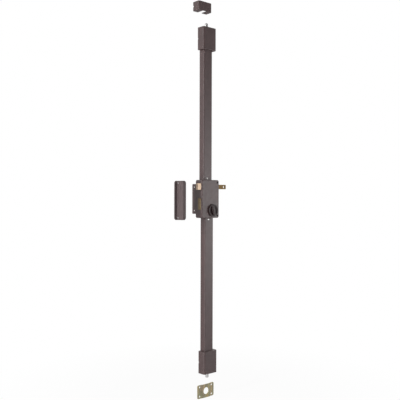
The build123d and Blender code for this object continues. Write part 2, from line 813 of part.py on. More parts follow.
def profile_saddle(axis_x, side):
    """Closed bracket on the door: the profile is screwed to its front bar."""
    saddle_start = side * (case_top + moving_gap)
    saddle_width = profile_inner - 2 * moving_gap
    saddle_front = profile_depth - profile_wall - moving_gap / 2
    window_front = saddle_front - saddle_bar
    middle_x = axis_x + profile_offset
    with BuildPart() as saddle:
        with BuildSketch(Plane.XY.offset(saddle_start)):
            with Locations((middle_x, -saddle_front / 2)):
                RectangleRounded(saddle_width, saddle_front, profile_edge - profile_wall)
            with Locations((middle_x, -(saddle_foot + window_front) / 2)):
                Rectangle(
                    saddle_width - 2 * saddle_wall, window_front - saddle_foot, mode=Mode.SUBTRACT
                )
        extrude(amount=side * saddle_length)
        with BuildSketch(front(-cut_over)):
            with Locations((axis_x, side * profile_screw_z)):
                with GridLocations(saddle_hole_spacing, 0, 2, 1):
                    Circle(saddle_hole_radius)
        extrude(amount=saddle_foot + 2 * cut_over, mode=Mode.SUBTRACT)
        with BuildSketch(front(window_front - cut_over)):
            with Locations((axis_x - profile_screw_offset, side * profile_screw_z)):
                Circle(profile_screw_radius + seat_gap)
        extrude(amount=saddle_bar + 2 * cut_over, mode=Mode.SUBTRACT)
    return saddle


upper_profile = rod_profile(upper_axis_x, 1, upper_guide_start)
lower_profile = rod_profile(lower_axis_x, -1, lower_guide_start)
upper_saddle = profile_saddle(upper_axis_x, 1)
lower_saddle = profile_saddle(lower_axis_x, -1)

with BuildPart() as profile_screws:
    shank_length = profile_wall + moving_gap / 2 + saddle_bar
    screw_places = (
        (upper_axis_x - profile_screw_offset, profile_screw_z),
        (lower_axis_x - profile_screw_offset, -profile_screw_z),
    )
    with BuildSketch(front(profile_depth - shank_length)):
        with Locations(*screw_places):
            Circle(profile_screw_radius)
    extrude(amount=shank_length)
    with BuildSketch(front(profile_depth)):
        with Locations(*screw_places):
            Circle(profile_screw_head_radius)
    extrude(amount=profile_screw_head)
    head_rims = profile_screws.edges().group_by(Axis.Y)[0]
    fillet(head_rims, radius=0.6 * profile_screw_head)

# Guide boxes at the ends of the rods


def guide_cover(axis_x, start_z, side):
    """Moulded box: the profile enters at its near end, the rod leaves at its far end."""
    low_z = min(start_z, start_z + side * guide_height)
    middle_z = start_z + side * guide_height / 2
    middle_x = axis_x + guide_offset
    with BuildPart() as cover:
        with BuildSketch(Plane.XY.offset(low_z)) as outer:
            with Locations((middle_x, -guide_depth / 2)):
                Rectangle(guide_width, guide_depth)
            fillet(outer.vertices().group_by(Axis.Y)[0], radius=guide_corner)
        extrude(amount=guide_height)
        for end_face in (cover.faces().sort_by(Axis.Z)[0], cover.faces().sort_by(Axis.Z)[-1]):
            rim = end_face.edges().filter_by(lambda edge: edge.center().Y < -guide_edge)
            fillet(rim, radius=guide_edge)
        with BuildSketch(Plane.XY.offset(low_z + guide_wall)) as inner:
            with Locations((middle_x, -(guide_depth - guide_wall) / 2)):
                Rectangle(guide_width - 2 * guide_wall, guide_depth - guide_wall)
            fillet(inner.vertices().group_by(Axis.Y)[0], radius=guide_corner - guide_wall)
        extrude(amount=guide_height - 2 * guide_wall, mode=Mode.SUBTRACT)
        with BuildSketch(Plane.XY.offset(start_z - side * cut_over)) as entry:
            entry_depth = profile_depth + moving_gap
            with Locations((axis_x + profile_offset, -entry_depth / 2)):
                Rectangle(profile_width + 2 * moving_gap, entry_depth)
            fillet(entry.vertices().group_by(Axis.Y)[0], radius=profile_edge)
        extrude(amount=side * (guide_wall + 2 * cut_over), mode=Mode.SUBTRACT)
        with BuildSketch(Plane.XY.offset(start_z + side * (guide_height + cut_over))):
            with Locations((axis_x, -rod_depth)):
                Circle(tip_radius + moving_gap)
        extrude(amount=-side * (guide_wall + 2 * cut_over), mode=Mode.SUBTRACT)
        with BuildSketch(Plane.YZ.offset(middle_x)):
            with Locations((0, middle_z)):
                Circle(notch_radius)
        extrude(amount=guide_width / 2 + cut_over, both=True, mode=Mode.SUBTRACT)
    return cover


def guide_base(axis_x, start_z, side):
    """Base on the door with two bearing lugs for the rod's tip."""
    inner_half_width = guide_width / 2 - guide_wall - moving_gap
    plate_start = start_z + side * (profile_insert + moving_gap)
    plate_end = start_z + side * (guide_height - guide_wall - moving_gap)
    middle_z = start_z + side * guide_height / 2
    middle_x = axis_x + guide_offset
    with BuildPart() as base:
        with BuildSketch(front(0)):
            with Locations((middle_x, (plate_start + plate_end) / 2)):
                Rectangle(2 * inner_half_width, abs(plate_end - plate_start))
            with Locations((middle_x, middle_z)):
                with GridLocations(guide_hole_spacing_x, guide_hole_spacing_z, 2, 2):
                    Circle(guide_hole_radius, mode=Mode.SUBTRACT)
        extrude(amount=guide_plate)
        with BuildSketch(front(0)):
            with Locations((middle_x, middle_z)):
                Rectangle(guide_width - guide_wall, nib_height)
        extrude(amount=nib_thickness)
        for lug_start in (plate_start, plate_end - side * lug_length):
            with BuildSketch(Plane.XY.offset(lug_start)):
                with Locations((axis_x, -(guide_plate / 2 + rod_depth) / 2)):
                    Rectangle(2 * lug_radius, rod_depth - guide_plate / 2)
                with Locations((axis_x, -rod_depth)):
                    Circle(lug_radius)
            extrude(amount=side * lug_length)
        with BuildSketch(Plane.XY.offset(plate_start - side * cut_over)):
            with Locations((axis_x, -rod_depth)):
                Circle(tip_radius + running_gap)
        extrude(amount=side * guide_height, mode=Mode.SUBTRACT)
    return base


top_guide_cover = guide_cover(upper_axis_x, upper_guide_start, 1)
bottom_guide_cover = guide_cover(lower_axis_x, lower_guide_start, -1)
top_guide_base = guide_base(upper_axis_x, upper_guide_start, 1)
bottom_guide_base = guide_base(lower_axis_x, lower_guide_start, -1)

# Keepers and floor strike, loose members of the set

with BuildPart() as side_keeper:
    with BuildSketch(Plane.YZ.offset(keeper_web_x)) as keeper_side:
        with Locations((-keeper_depth / 2, keeper_z)):
            Rectangle(keeper_depth, keeper_height)
        fillet(keeper_side.vertices().group_by(Axis.X)[0], radius=keeper_corner)
    extrude(amount=keeper_width)
    web_edges = side_keeper.faces().sort_by(Axis.X)[0].edges()
    fillet(web_edges.filter_by(lambda edge: edge.center().Y < -cut_over), radius=keeper_edge)
    with BuildSketch(front(0)) as keeper_flange:
        with Locations((keeper_web_x + (keeper_edge - keeper_lip) / 2, keeper_z)):
            Rectangle(keeper_lip + keeper_edge, keeper_height)
        fillet(keeper_flange.vertices().group_by(Axis.X)[0], radius=keeper_lip_corner)
    extrude(amount=keeper_thickness)
    with BuildSketch(Plane.YZ.offset(keeper_web_x + keeper_thickness)) as keeper_cavity:
        with Locations((-(keeper_depth - keeper_thickness) / 2, keeper_z)):
            Rectangle(keeper_depth - keeper_thickness, keeper_height - 2 * keeper_thickness)
        cavity_corners = keeper_cavity.vertices().group_by(Axis.X)[0]
        fillet(cavity_corners, radius=keeper_corner - keeper_thickness)
    extrude(amount=keeper_width, mode=Mode.SUBTRACT)
    with BuildSketch(Plane.YZ.offset(keeper_web_x - cut_over)):
        with Locations((-keeper_hole_depth, keeper_z)):
            with GridLocations(0, keeper_hole_spacing, 1, 2):
                Circle(keeper_hole_radius)
    extrude(amount=keeper_thickness + 2 * cut_over, mode=Mode.SUBTRACT)

with BuildPart() as top_keeper:
    top_keeper_middle = top_keeper_bottom + top_keeper_height / 2
    with BuildSketch(Plane.XY.offset(top_keeper_bottom)) as keeper_outer:
        with Locations((top_keeper_x, -guide_depth / 2)):
            Rectangle(guide_width, guide_depth)
        fillet(keeper_outer.vertices().group_by(Axis.Y)[0], radius=guide_corner)
    extrude(amount=top_keeper_height)
    keeper_rim = top_keeper.faces().sort_by(Axis.Z)[-1].edges()
    fillet(keeper_rim.filter_by(lambda edge: edge.center().Y < -guide_edge), radius=guide_edge)
    with BuildSketch(Plane.XY.offset(top_keeper_bottom + top_keeper_wall)) as keeper_inner:
        with Locations((top_keeper_x, -(guide_depth - top_keeper_wall) / 2)):
            Rectangle(guide_width - 2 * top_keeper_wall, guide_depth - top_keeper_wall)
        fillet(keeper_inner.vertices().group_by(Axis.Y)[0], radius=guide_corner - top_keeper_wall)
    extrude(amount=top_keeper_height - 2 * top_keeper_wall, mode=Mode.SUBTRACT)
    with BuildSketch(Plane.XY.offset(top_keeper_bottom - cut_over)):
        with Locations((top_keeper_x, -(guide_depth - top_keeper_wall) / 2)):
            Rectangle(top_keeper_slot, guide_depth - top_keeper_wall)
    extrude(amount=top_keeper_wall + 2 * cut_over, mode=Mode.SUBTRACT)
    hole_x = guide_width / 2 - top_keeper_hole_inset_x
    hole_z = top_keeper_height / 2 - top_keeper_hole_inset_z
    keeper_screw_places = (
        (top_keeper_x + hole_x, top_keeper_middle - hole_z),
        (top_keeper_x - hole_x, top_keeper_middle + hole_z),
    )
    with BuildSketch(front(guide_depth - top_keeper_wall - cut_over)):
        with Locations(*keeper_screw_places):
            Circle(top_keeper_hole_radius)
    extrude(amount=top_keeper_wall + 2 * cut_over, mode=Mode.SUBTRACT)
    with BuildSketch(Plane.YZ.offset(top_keeper_x)):
        with Locations((0, top_keeper_middle)):
            Circle(notch_radius)
    extrude(amount=guide_width / 2 + cut_over, both=True, mode=Mode.SUBTRACT)

with BuildPart() as floor_strike:
    crown_half = strike_crown / 2
    slope_end = crown_half + strike_slope
    half_width = strike_width / 2
    with BuildSketch(Plane.XY.offset(strike_z - strike_height / 2)):
        with BuildLine():
            strike_line = Polyline(
                (strike_x - half_width, -strike_depth),
                (strike_x - slope_end, -strike_depth),
                (strike_x - crown_half, -strike_depth - strike_raise),
                (strike_x + crown_half, -strike_depth - strike_raise),
                (strike_x + slope_end, -strike_depth),
                (strike_x + half_width, -strike_depth),
            )
            offset(strike_line, amount=strike_thickness, side=Side.LEFT, closed=True)
        make_face()
    extrude(amount=strike_height)
    strike_corners = floor_strike.edges().filter_by(Axis.Y).group_by(Axis.X)
    fillet(strike_corners[0] + strike_corners[-1], radius=strike_corner)
    with BuildSketch(front(strike_depth - strike_thickness - cut_over)):
        with Locations((strike_x, strike_z)):
            Circle(strike_bore_radius)
            with GridLocations(strike_hole_spacing_x, strike_hole_spacing_z, 2, 2):
                Circle(strike_hole_radius)
    extrude(amount=strike_thickness + strike_raise + 2 * cut_over, mode=Mode.SUBTRACT)

pieces = {
    "base_plate": base_plate,
    "case_cover": case_cover,
    "cover_posts": cover_posts,
    "cover_screws": cover_screws,
    "guide_studs": guide_studs,
    "spring_bracket": spring_bracket,
    "spindle_bush": spindle_bush,
    "deadbolt": deadbolt,
    "bolt_carriage": bolt_carriage,
    "bolt_rivets": bolt_rivets,
    "bolt_rack": bolt_rack,
    "rack_rivets": rack_rivets,
    "drive_pinion": drive_pinion,
    "pinion_pin": pinion_pin,
    "spindle": spindle,
    "knob": knob,
    "latch_bolt": latch_bolt,
    "pull_bar": pull_bar,
    "latch_pin": latch_pin,
    "latch_spring": latch_spring,
    "upper_link": upper_link,
    "lower_link": lower_link,
    "upper_cam_pin": upper_cam_pin,
    "lower_cam_pin": lower_cam_pin,
    "upper_rod_pins": upper_rod_pins,
    "lower_rod_pins": lower_rod_pins,
    "upper_rod": upper_rod,
    "lower_rod": lower_rod,
    "top_rod_tip": top_rod_tip,
    "bottom_rod_tip": bottom_rod_tip,
    "upper_profile": upper_profile,
    "lower_profile": lower_profile,
    "upper_saddle": upper_saddle,
    "lower_saddle": lower_saddle,
    "profile_screws": profile_screws,
    "top_guide_cover": top_guide_cover,
    "bottom_guide_cover": bottom_guide_cover,
    "top_guide_base": top_guide_base,
    "bottom_guide_base": bottom_guide_base,
    "side_keeper": side_keeper,
    "top_keeper": top_keeper,
    "floor_strike": floor_strike,
}
for label, piece in pieces.items():
    piece.part.label = label
    export_step(piece.part, f"parts/{label}.step")
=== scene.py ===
import json
from math import cos, pi, radians, sin

import bmesh
import bpy
from mathutils import Matrix, Vector


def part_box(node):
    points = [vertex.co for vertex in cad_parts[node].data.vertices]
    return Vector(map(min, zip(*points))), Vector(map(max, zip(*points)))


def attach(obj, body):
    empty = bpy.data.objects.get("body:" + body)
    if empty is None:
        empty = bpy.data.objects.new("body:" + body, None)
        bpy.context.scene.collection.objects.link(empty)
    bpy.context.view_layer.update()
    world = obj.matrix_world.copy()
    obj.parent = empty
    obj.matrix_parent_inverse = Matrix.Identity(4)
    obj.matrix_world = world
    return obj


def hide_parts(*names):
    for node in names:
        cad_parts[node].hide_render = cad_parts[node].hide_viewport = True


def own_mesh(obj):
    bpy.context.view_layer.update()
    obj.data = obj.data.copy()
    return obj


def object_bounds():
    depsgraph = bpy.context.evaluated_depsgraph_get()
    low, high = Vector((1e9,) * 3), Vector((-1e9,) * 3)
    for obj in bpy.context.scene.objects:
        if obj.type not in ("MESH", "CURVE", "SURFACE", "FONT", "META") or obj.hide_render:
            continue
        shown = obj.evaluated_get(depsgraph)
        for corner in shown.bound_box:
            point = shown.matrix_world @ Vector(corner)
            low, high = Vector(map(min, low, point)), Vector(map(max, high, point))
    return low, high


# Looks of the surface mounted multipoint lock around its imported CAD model. Sizes are in metres.
# The door's face is the plane y = 0, the viewer is on the -y side, and z is up.

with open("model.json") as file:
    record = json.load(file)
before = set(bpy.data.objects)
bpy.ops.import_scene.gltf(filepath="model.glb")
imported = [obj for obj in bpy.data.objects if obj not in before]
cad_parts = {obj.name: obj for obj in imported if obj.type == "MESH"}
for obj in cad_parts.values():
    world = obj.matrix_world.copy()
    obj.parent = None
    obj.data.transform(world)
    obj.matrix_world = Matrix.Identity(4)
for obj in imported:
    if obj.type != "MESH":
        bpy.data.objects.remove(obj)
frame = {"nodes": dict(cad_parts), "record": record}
cad_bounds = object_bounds()
nodes = frame["nodes"]
MM = 0.001
WHITE = (1, 1, 1)

# Camera, fitted to the edges of case, profiles and end boxes in the photograph
CAMERA_LENS = 56.007
CAMERA_SENSOR = 36.0
CAMERA_YAW = radians(41.33)
CAMERA_PITCH = radians(-0.11)
CAMERA_ROLL = radians(0.14)
CAMERA_TARGET = Vector((-34.75, -15.0, -3.9)) * MM
CAMERA_DISTANCE = 2.279
CAMERA_CLIP_END = 50

# Screws. A head is an outline of (radius, z) in mm, from the middle of its top to the shank. It keeps
# inside the head of the CAD, whose radius places the screws in the pair's box.
SHANK_RADIUS = 2.0 * MM
COVER_CAD_HEAD_RADIUS = 3.9 * MM
COVER_HEAD = ((0, 0), (2.6, 0), (3.55, -0.03), (3.8, -0.12), (3.86, -0.28), (3.7, -0.5),
              (2.15, -1.95), (2.0, -2.3))
COVER_RECESS = dict(reach=2.3 * MM, width=0.85 * MM, depth=1.5 * MM)
COVER_TURNS = (0.3, 1.1)
PROFILE_CAD_HEAD_RADIUS = 3.6 * MM
PROFILE_HEAD = ((0, 0), (1.2, -0.06), (2.1, -0.28), (2.9, -0.72), (3.35, -1.2), (3.52, -1.7),
                (3.55, -2.25), (3.45, -2.38), (2.1, -2.4), (2.0, -2.5))
PROFILE_RECESS = dict(reach=1.9 * MM, width=0.75 * MM, depth=1.6 * MM)
PROFILE_TURNS = (0.5, 0.15)
RECESS_FLOOR_REACH = 0.35
RECESS_FLOOR_WIDTH = 0.7
RECESS_OVERRUN = 0.6 * MM
THREAD_PITCH = 0.7 * MM
THREAD_DEPTH = THREAD_PITCH * 0.5
THREAD_CREST_GAIN = 1.25
THREAD_ROWS = 8
END_CHAMFER = 0.3 * MM
SCREW_SIDES = 40
POLE_RADIUS = 0.01 * MM
WELD_DISTANCE = 0.02 * MM
SHARP_ANGLE = radians(35)

# Latch spring, whose wire keeps inside the wire of the CAD
SPRING_CAD_WIRE_RADIUS = 0.45 * MM
SPRING_WIRE_RADIUS = SPRING_CAD_WIRE_RADIUS * 0.98
SPRING_TURNS = 8
SPRING_CLOSING = 0.5 / SPRING_TURNS
SPRING_STEPS = 36
SPRING_SIDES = 12

# Lights, each at an offset from the place that all of them point at
LIT_PLACE = Vector((-0.02, 0, 0))
SOFT_LIGHTS = {
    "light_right": dict(offset=Vector((0.76, -0.65, -0.03)) * 2.2, width=3.2, height=0.9, power=22.5),
    "light_left": dict(offset=Vector((-0.985, -0.12, 0.03)) * 2.2, width=0.35, height=2.0, power=48),
    "light_top": dict(offset=Vector((-0.1, -0.75, 1.0)) * 2.0, width=2.0, height=1.2, power=5),
}

# Background: the light from all round, and what mirrors see of the room and the backdrop
WORLD_LIGHT = 0.36
ROOM_LIGHT = 0.16
BACKDROP_LIGHT = 1.0
BACKDROP_SIDE = (0.45, 0.89, 0)
BACKDROP_BLEND = 0.3

# Floor, whose glow grows from near to far
FLOOR_DROP = 0.004
FLOOR_SIZE = 14.0
FLOOR_COLOUR = (0.86, 0.86, 0.86)
FLOOR_NEAR = 0.35
FLOOR_FAR = 0.9
FLOOR_GLOW_NEAR = 0.94
FLOOR_GLOW_FAR = 1.0


def make_camera():
    """The camera at the photograph's angle and framing."""
    forward = Vector((
        sin(CAMERA_YAW) * cos(CAMERA_PITCH),
        cos(CAMERA_YAW) * cos(CAMERA_PITCH),
        sin(CAMERA_PITCH),
    ))
    level = Vector((cos(CAMERA_YAW), -sin(CAMERA_YAW), 0))
    above = level.cross(forward)
    right = level * cos(CAMERA_ROLL) + above * sin(CAMERA_ROLL)
    up = above * cos(CAMERA_ROLL) - level * sin(CAMERA_ROLL)
    data = bpy.data.cameras.new("camera")
    data.lens = CAMERA_LENS
    data.sensor_width = CAMERA_SENSOR
    data.clip_end = CAMERA_CLIP_END
    camera = bpy.data.objects.new("camera", data)
    bpy.context.collection.objects.link(camera)
    place = Matrix((right, up, -forward)).transposed().to_4x4()
    place.translation = CAMERA_TARGET - forward * CAMERA_DISTANCE
    camera.matrix_world = place
    bpy.context.scene.camera = camera


make_camera()

# Shader nodes


def feed(tree, value, socket):
    """Gives a socket its value: a number, a vector, a colour or another node's output."""
    if isinstance(value, bpy.types.NodeSocket):
        tree.links.new(value, socket)
    elif socket.type == "RGBA":
        socket.default_value = (*value, 1.0)
    else:
        socket.default_value = value


def add_node(tree, kind, inputs=None, operation=None):
    """A shader node of a kind, with its inputs given by name or number."""
    node = tree.nodes.new("ShaderNode" + kind)
    if operation:
        node.operation = operation
    for key, value in (inputs or {}).items():
        feed(tree, value, node.inputs[key])
    return node


def add_range(tree, value, low, high, to_low, to_high):
    """value from low..high carried to to_low..to_high, and kept within them."""
    return add_node(tree, "MapRange", {
        "Value": value,
        "From Min": low,
        "From Max": high,
        "To Min": to_low,
        "To Max": to_high,
    }).outputs["Result"]


def empty_tree(owner):
    """The node tree of a material or world, without nodes."""
    owner.use_nodes = True
    owner.node_tree.nodes.clear()
    return owner.node_tree


# Most values of a noise lie between these two.
NOISE_LOW = 0.3
NOISE_HIGH = 0.7

# Sockets of a Mix node that mixes colours: its factor and two colours, and its result.
MIX_COLOUR_INPUTS = (0, 6, 7)
MIX_COLOUR_OUTPUT = 2

BEVEL_SAMPLES = 4


class Look:
    """One node material around a Principled shader, in the piece's own coordinates."""

    def __init__(self, name, metallic=0.0, specular=0.5):
        self.material = bpy.data.materials.new(name)
        self.tree = empty_tree(self.material)
        self.shader = self.node("BsdfPrincipled", {
            "Metallic": metallic,
            "Specular IOR Level": specular,
        })
        self.node("OutputMaterial", {"Surface": self.shader.outputs[0]})
        self.place = self.node("TexCoord").outputs["Object"]

    def node(self, kind, inputs=None, operation=None):
        return add_node(self.tree, kind, inputs, operation)

    def stretched(self, scale):
        """The piece's coordinates, scaled by axis, for grain that runs one way."""
        return self.node("Mapping", {"Vector": self.place, "Scale": scale}).outputs["Vector"]

    def noise(self, scale, detail, rough, at=None):
        return self.node("TexNoise", {
            "Vector": at or self.place,
            "Scale": scale,
            "Detail": detail,
            "Roughness": rough,
        }).outputs["Fac"]

    def vary(self, noise, low, high):
        """A noise carried to low..high."""
        return add_range(self.tree, noise, NOISE_LOW, NOISE_HIGH, low, high)

    def spots(self, noise, start, full, share):
        """0 where the noise is below start, rising to share where it reaches full."""
        return add_range(self.tree, noise, start, full, 0.0, share)

    def ramp(self, value, *stops):
        """Colour by value, from (position, colour) stops."""
        node = self.node("ValToRGB", {"Fac": value})
        elements = node.color_ramp.elements
        while len(elements) < len(stops):
            elements.new(1.0)
        for element, (position, colour) in zip(elements, stops):
            element.position = position
            element.color = (*colour, 1.0)
        return node.outputs["Color"]

    def two_tone(self, noise, dark, light):
        return self.ramp(noise, (NOISE_LOW, dark), (NOISE_HIGH, light))

    def blend(self, share, base, over):
        """base with a share of over; each of the two may be a socket or a colour."""
        node = self.node("Mix")
        node.data_type = "RGBA"
        for number, value in zip(MIX_COLOUR_INPUTS, (share, base, over)):
            feed(self.tree, value, node.inputs[number])
        return node.outputs[MIX_COLOUR_OUTPUT]

    def calculate(self, operation, first, second):
        return self.node("Math", {0: first, 1: second}, operation).outputs["Value"]

    def plus(self, first, second):
        return self.calculate("ADD", first, second)

    def minus(self, first, second):
        return self.calculate("SUBTRACT", first, second)

    def times(self, first, second):
        return self.calculate("MULTIPLY", first, second)

    def mixed(self, first, second, share):
        """A share of the first value and the rest of the second."""
        return self.plus(self.times(first, share), self.times(second, 1 - share))

    def rounded(self, radius):
        """The surface's normal, with edges rounded by radius."""
        node = self.node("Bevel", {"Radius": radius})
        node.samples = BEVEL_SAMPLES
        return node.outputs["Normal"]

    def edges(self, radius, fall):
        """0 on the flats, rising to 1 on edges, where the rounded normal leaves the plain one.

        It is 1 where the cosine of the angle between them has fallen by fall."""
        plain = self.node("NewGeometry").outputs["Normal"]
        cosine = self.node("VectorMath", {0: self.rounded(radius), 1: plain}, "DOT_PRODUCT")
        return add_range(self.tree, cosine.outputs["Value"], 1.0, 1.0 - fall, 0.0, 1.0)

    def colour(self, socket):
        feed(self.tree, socket, self.shader.inputs["Base Color"])

    def roughness(self, socket):
        feed(self.tree, socket, self.shader.inputs["Roughness"])

    def bump(self, height, distance, strength, radius):
        """Fine relief, over edges rounded by radius."""
        node = self.node("Bump", {
            "Height": height,
            "Distance": distance,
            "Strength": strength,
            "Normal": self.rounded(radius),
        })
        feed(self.tree, node.outputs["Normal"], self.shader.inputs["Normal"])


def brighter(colour, gain):
    return tuple(min(1.0, part * gain) for part in colour)


# Materials: noises are (scale, detail, roughness), spots (start, full, share), edges (radius, fall).
# The streaks and gloss of metal leave out the scale, which each finish has of its own.

PAINT_CLOUDS = (38, 4, 0.6)
PAINT_SPECKS = (2300, 2, 0.6)
PAINT_SPECK_SPOTS = (0.62, 0.8, 0.35)
PAINT_SPECK_COLOUR = (0.095, 0.075, 0.07)
PAINT_WEAR = (420, 3, 0.7)
PAINT_WEAR_SPOTS = (0.45, 0.7, 1)
PAINT_WEAR_AND_HIGHLIGHT_SHARE = 0.55
PAINT_WORN_AND_HIGHLIGHT_COLOUR = (0.20, 0.165, 0.16)
PAINT_WEAR_AND_HIGHLIGHT_EDGES = (0.6 * MM, 0.12)
PAINT_GLOSS = (95, 4, 0.65)
PAINT_GLOSS_SWING = 0.06
ORANGE_PEEL = (900, 2, 0.5)
FINE_PEEL = (3200, 1, 0.5)
FINE_PEEL_SHARE = 0.3
PEEL_HEIGHT = 0.06 * MM
PEEL_STRENGTH = 0.6
PAINT_ROUNDING = 0.4 * MM


def paint(name, dark, light, rough, specular):
    """Brown stove enamel with orange peel, faint clouding, and edges lightened in patches: partly thin,
    rubbed paint and partly a painted highlight along the edges.
    """
    look = Look(name, specular=specular)
    base = look.two_tone(look.noise(*PAINT_CLOUDS), dark, light)
    specks = look.spots(look.noise(*PAINT_SPECKS), *PAINT_SPECK_SPOTS)
    base = look.blend(specks, base, PAINT_SPECK_COLOUR)
    # Lighter paint on the edges in patches: partly rubbed-thin paint, partly a painted highlight
    # standing for light caught on rounded edges.
    wear = look.spots(look.noise(*PAINT_WEAR), *PAINT_WEAR_SPOTS)
    worn_and_highlit_edges = look.times(look.times(look.edges(*PAINT_WEAR_AND_HIGHLIGHT_EDGES), wear), PAINT_WEAR_AND_HIGHLIGHT_SHARE)
    look.colour(look.blend(worn_and_highlit_edges, base, PAINT_WORN_AND_HIGHLIGHT_COLOUR))
    gloss = look.noise(*PAINT_GLOSS)
    look.roughness(look.vary(gloss, rough - PAINT_GLOSS_SWING, rough + PAINT_GLOSS_SWING))
    fine_peel = look.times(look.noise(*FINE_PEEL), FINE_PEEL_SHARE)
    peel = look.plus(look.noise(*ORANGE_PEEL), fine_peel)
    look.bump(peel, PEEL_HEIGHT, PEEL_STRENGTH, PAINT_ROUNDING)
    return look.material


METAL_STREAKS = (4, 0.6)
METAL_STREAK_SHARE = 0.6
METAL_CLOUDS = (60, 3, 0.6)
METAL_DARK_AT = 0.35
METAL_LIGHT_AT = 0.65
METAL_STAINS = (110, 4, 0.6)
METAL_STAIN_SPOTS = (0.52, 0.72, 0.6)
METAL_EDGES = (0.5 * MM, 0.15)
METAL_EDGE_SHARE = 0.5
METAL_EDGE_GAIN = 1.25
METAL_GLOSS = (4, 0.7)
METAL_GLOSS_SCALE = 0.7
METAL_SMOOTHER = 0.07
METAL_ROUGHER = 0.08
METAL_RELIEF_STRENGTH = 0.7
METAL_ROUNDING = 0.3 * MM


def metal(name, dark, light, rough, scale, grain=(1, 1, 1), relief=0.03 * MM, stain=None):
    """Bare or plated metal: streaks in colour, gloss and relief, with brighter rubbed edges.

    The streaks have a noise of the given scale, and grain is what scales it by axis."""
    look = Look(name, metallic=1.0)
    along = look.stretched(grain)
    streaks = look.noise(scale, *METAL_STREAKS, along)
    tone = look.mixed(streaks, look.noise(*METAL_CLOUDS), METAL_STREAK_SHARE)
    base = look.ramp(tone, (METAL_DARK_AT, dark), (METAL_LIGHT_AT, light))
    if stain:
        stains = look.spots(look.noise(*METAL_STAINS), *METAL_STAIN_SPOTS)
        base = look.blend(stains, base, stain)
    rubbed = look.times(look.edges(*METAL_EDGES), METAL_EDGE_SHARE)
    look.colour(look.blend(rubbed, base, brighter(light, METAL_EDGE_GAIN)))
    gloss = look.noise(scale * METAL_GLOSS_SCALE, *METAL_GLOSS, along)
    look.roughness(look.vary(gloss, rough - METAL_SMOOTHER, rough + METAL_ROUGHER))
    look.bump(streaks, relief, METAL_RELIEF_STRENGTH, METAL_ROUNDING)
    return look.material


PLASTIC_MARBLING = (130, 4, 0.6)
PLASTIC_EDGES = (0.7 * MM, 0.15)
PLASTIC_EDGE_SHARE = 0.3
PLASTIC_EDGE_GAIN = 1.8
PLASTIC_GLOSS = (220, 4, 0.6)
PLASTIC_GLOSS_SWING = 0.06
PLASTIC_HANDLING_SHINE = 0.08
PLASTIC_TEXTURE = (2600, 2, 0.6)
PLASTIC_TEXTURE_STRENGTH = 0.6
PLASTIC_ROUNDING = 0.4 * MM


def plastic(name, dark, light, rough, relief, specular=0.5):
    """Moulded plastic: fine spark-eroded texture, slight marbling and handling shine on edges."""
    look = Look(name, specular=specular)
    base = look.two_tone(look.noise(*PLASTIC_MARBLING), dark, light)
    rubbed = look.edges(*PLASTIC_EDGES)
    edge_share = look.times(rubbed, PLASTIC_EDGE_SHARE)
    look.colour(look.blend(edge_share, base, brighter(light, PLASTIC_EDGE_GAIN)))
    gloss = look.noise(*PLASTIC_GLOSS)
    gloss = look.vary(gloss, rough - PLASTIC_GLOSS_SWING, rough + PLASTIC_GLOSS_SWING)
    look.roughness(look.minus(gloss, look.times(rubbed, PLASTIC_HANDLING_SHINE)))
    texture = look.noise(*PLASTIC_TEXTURE)
    look.bump(texture, relief, PLASTIC_TEXTURE_STRENGTH, PLASTIC_ROUNDING)
    return look.material


STRAW = (0.55, 0.42, 0.21)
PALE_GREEN = (0.48, 0.45, 0.29)
OLIVE = (0.34, 0.33, 0.22)
ROSE_GREY = (0.40, 0.32, 0.24)
GOLD = (0.62, 0.49, 0.28)
ZINC_FILM = ((0.38, STRAW), (0.44, PALE_GREEN), (0.50, OLIVE), (0.56, ROSE_GREY), (0.63, GOLD))
ZINC_DRIFT = (24, 2, 0.5)
ZINC_DRIFT_STRETCH = (2.2, 1.0, 0.55)
ZINC_DRIFT_SHARE = 0.85
ZINC_PATCHES = (70, 2, 0.5)
ZINC_GRAIN = (800, 3, 0.6)
ZINC_GRAIN_DARK = (0.26, 0.22, 0.15)
ZINC_GRAIN_LIGHT = (0.58, 0.52, 0.36)
ZINC_GRAIN_SHARE = 0.15
ZINC_EDGES = (0.6 * MM, 0.15)
ZINC_EDGE_SHARE = 0.45
ZINC_EDGE_COLOUR = (0.70, 0.62, 0.44)
ZINC_GLOSS = (260, 4, 0.65)
ZINC_SMOOTHEST = 0.22
ZINC_ROUGHEST = 0.34
ZINC_RELIEF = 0.02 * MM
ZINC_RELIEF_STRENGTH = 0.5
ZINC_ROUNDING = 0.4 * MM


def yellow_zinc(name):
    """Yellow passivated zinc plate, whose film shifts between straw, green, rose grey and gold."""
    look = Look(name, metallic=1.0)
    drift = look.noise(*ZINC_DRIFT, look.stretched(ZINC_DRIFT_STRETCH))
    tint = look.mixed(drift, look.noise(*ZINC_PATCHES), ZINC_DRIFT_SHARE)
    grain = look.noise(*ZINC_GRAIN)
    grain_colour = look.two_tone(grain, ZINC_GRAIN_DARK, ZINC_GRAIN_LIGHT)
    base = look.blend(ZINC_GRAIN_SHARE, look.ramp(tint, *ZINC_FILM), grain_colour)
    rubbed = look.times(look.edges(*ZINC_EDGES), ZINC_EDGE_SHARE)
    look.colour(look.blend(rubbed, base, ZINC_EDGE_COLOUR))
    look.roughness(look.vary(look.noise(*ZINC_GLOSS), ZINC_SMOOTHEST, ZINC_ROUGHEST))
    look.bump(grain, ZINC_RELIEF, ZINC_RELIEF_STRENGTH, ZINC_ROUNDING)
    return look.material
